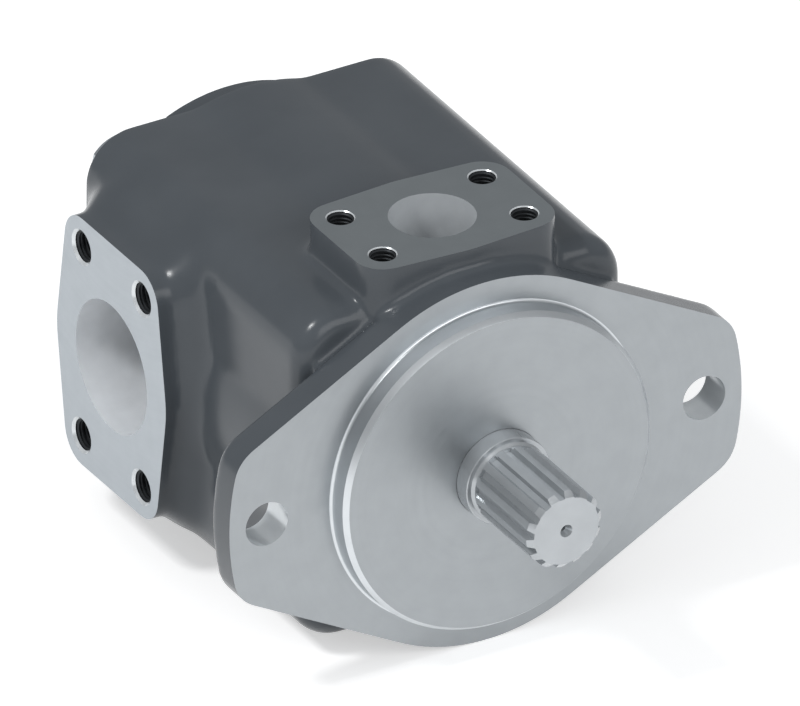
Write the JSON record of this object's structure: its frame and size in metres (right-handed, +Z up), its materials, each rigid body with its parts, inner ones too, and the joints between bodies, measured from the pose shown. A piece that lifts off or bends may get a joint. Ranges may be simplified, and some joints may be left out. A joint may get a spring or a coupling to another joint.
{
  "type": "hydraulic vane pump",
  "caption": "Cartridge vane pump with a two-bolt mounting flange, splined shaft, top pressure port and side suction port.",
  "frame": {"origin": "centre of the mounting flange's face, on the shaft's axis", "axes": "+X right seen from the shaft end, +Y from the mounting face to the rear, +Z up to the pressure port"},
  "size_m": [0.212, 0.2425, 0.1566],
  "materials": {
    "casting": "dark grey paint, semi-gloss",
    "zinc_steel": "zinc plated",
    "seal_rubber": "nitrile rubber",
    "seal_steel": "pressed sheet steel",
    "spring_steel": "oiled spring steel",
    "bearing_steel": "ground bearing steel",
    "ball_steel": "polished",
    "cage_steel": "pressed brass",
    "plate_bronze": "bronze, lapped",
    "bush_bronze": "sintered bronze",
    "backup_plastic": "white plastic",
    "hardened_steel": "hardened and ground",
    "vane_steel": "ground tool steel",
    "black_steel": "black oxide",
    "shaft_steel": "ground and turned"
  },
  "bodies": {
    "casing": {"mounting_cap": "casting", "rear_housing": "casting", "housing_bolts": "zinc_steel", "housing_face_seal": "seal_rubber", "shaft_seal_case": "seal_steel", "shaft_seal_lip": "seal_rubber", "garter_spring": "spring_steel", "bearing_outer_ring": "bearing_steel", "bearing_retaining_ring": "spring_steel", "preload_spring": "spring_steel", "pressure_plate": "plate_bronze", "cam_ring": "hardened_steel", "hub_seal": "seal_rubber", "hub_backup_ring": "backup_plastic", "plate_seal": "seal_rubber", "plate_backup_ring": "backup_plastic", "rear_side_plate": "plate_bronze", "rear_plate_bush": "bush_bronze", "cartridge_dowels": "hardened_steel", "cartridge_screws": "black_steel"},
    "rotor_group": {"drive_shaft": "shaft_steel", "bearing_inner_ring": "bearing_steel", "shaft_retaining_ring": "spring_steel", "rotor": "hardened_steel"},
    "ball_cage": {"bearing_balls": "ball_steel", "bearing_cage": "cage_steel"},
    "vane_01_set": {"vane_01": "vane_steel", "vane_pin_01": "vane_steel"},
    "vane_02_set": {"vane_02": "vane_steel", "vane_pin_02": "vane_steel"},
    "vane_03_set": {"vane_03": "vane_steel", "vane_pin_03": "vane_steel"},
    "vane_04_set": {"vane_04": "vane_steel", "vane_pin_04": "vane_steel"},
    "vane_05_set": {"vane_05": "vane_steel", "vane_pin_05": "vane_steel"},
    "vane_06_set": {"vane_06": "vane_steel", "vane_pin_06": "vane_steel"},
    "vane_07_set": {"vane_07": "vane_steel", "vane_pin_07": "vane_steel"},
    "vane_08_set": {"vane_08": "vane_steel", "vane_pin_08": "vane_steel"},
    "vane_09_set": {"vane_09": "vane_steel", "vane_pin_09": "vane_steel"},
    "vane_10_set": {"vane_10": "vane_steel", "vane_pin_10": "vane_steel"}
  },
  "joints": [
    {"name": "shaft_spin", "type": "hinge", "parent": "casing", "child": "rotor_group", "pos_m": [0, 0, 0], "axis": [0, 1, 0], "continuous": true},
    {"name": "cage_spin", "type": "hinge", "parent": "casing", "child": "ball_cage", "pos_m": [0, 0.0115, 0], "axis": [0, 1, 0], "continuous": true},
    {"name": "vane_01_slide", "type": "slide", "parent": "rotor_group", "child": "vane_01_set", "axis": [0, 0, 1], "range_m": [0, 0.00079]},
    {"name": "vane_02_slide", "type": "slide", "parent": "rotor_group", "child": "vane_02_set", "axis": [0.5878, 0, 0.809], "range_m": [0, 0.00204]},
    {"name": "vane_03_slide", "type": "slide", "parent": "rotor_group", "child": "vane_03_set", "axis": [0.9511, 0, 0.309], "range_m": [0, 0.00633]},
    {"name": "vane_04_slide", "type": "slide", "parent": "rotor_group", "child": "vane_04_set", "axis": [0.9511, 0, -0.309], "range_m": [0, 0.00633]},
    {"name": "vane_05_slide", "type": "slide", "parent": "rotor_group", "child": "vane_05_set", "axis": [0.5878, 0, -0.809], "range_m": [0, 0.00204]},
    {"name": "vane_06_slide", "type": "slide", "parent": "rotor_group", "child": "vane_06_set", "axis": [0, 0, -1], "range_m": [0, 0.00079]},
    {"name": "vane_07_slide", "type": "slide", "parent": "rotor_group", "child": "vane_07_set", "axis": [-0.5878, 0, -0.809], "range_m": [0, 0.00204]},
    {"name": "vane_08_slide", "type": "slide", "parent": "rotor_group", "child": "vane_08_set", "axis": [-0.9511, 0, -0.309], "range_m": [0, 0.00633]},
    {"name": "vane_09_slide", "type": "slide", "parent": "rotor_group", "child": "vane_09_set", "axis": [-0.9511, 0, 0.309], "range_m": [0, 0.00633]},
    {"name": "vane_10_slide", "type": "slide", "parent": "rotor_group", "child": "vane_10_set", "axis": [-0.5878, 0, 0.809], "range_m": [0, 0.00204]}
  ],
  "couplings": [
    {"joint": "cage_spin", "follows": "shaft_spin", "ratio": 0.3963}
  ]
}
